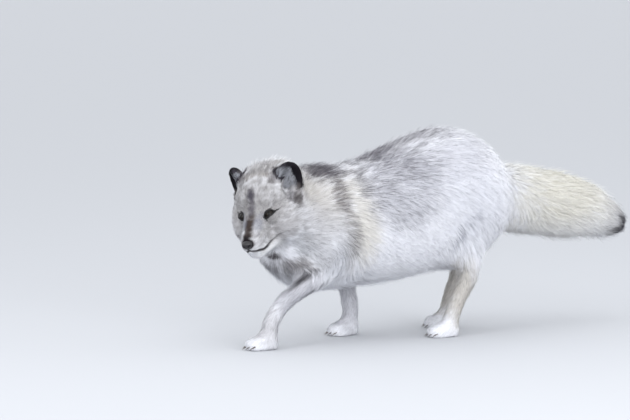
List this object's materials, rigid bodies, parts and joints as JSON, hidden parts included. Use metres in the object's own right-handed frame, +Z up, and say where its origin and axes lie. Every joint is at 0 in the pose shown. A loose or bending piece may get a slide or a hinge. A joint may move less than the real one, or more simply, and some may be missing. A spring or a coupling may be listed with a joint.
{
  "type": "arctic fox",
  "caption": "Life-size still model of an arctic fox in winter coat, walking with head lowered and turned to its left, tail held out behind.",
  "frame": {"origin": "bottom centre of the whole: on the floor, midway between nose and tail tip and midway across", "axes": "+Z up. The fox heads along -X, so its tail points along +X. Its left side faces -Y."},
  "size_m": [0.7682, 0.2002, 0.3351],
  "materials": {
    "winter_fur": "matte",
    "ear_fur": "matte",
    "leg_fur": "matte",
    "eye": "gloss",
    "nose_skin": "satin"
  },
  "bodies": {
    "root": {"head": "winter_fur", "neck": "winter_fur", "trunk": "winter_fur", "tail": "winter_fur", "ear_left": "ear_fur", "ear_right": "ear_fur", "eye_left": "eye", "eye_right": "eye", "nose": "nose_skin", "foreleg_left": "leg_fur", "foreleg_right": "leg_fur", "hindleg_left": "leg_fur", "hindleg_right": "leg_fur", "forepaw_left": "leg_fur", "forepaw_right": "leg_fur", "hindpaw_left": "leg_fur", "hindpaw_right": "leg_fur"}
  },
  "joints": []
}
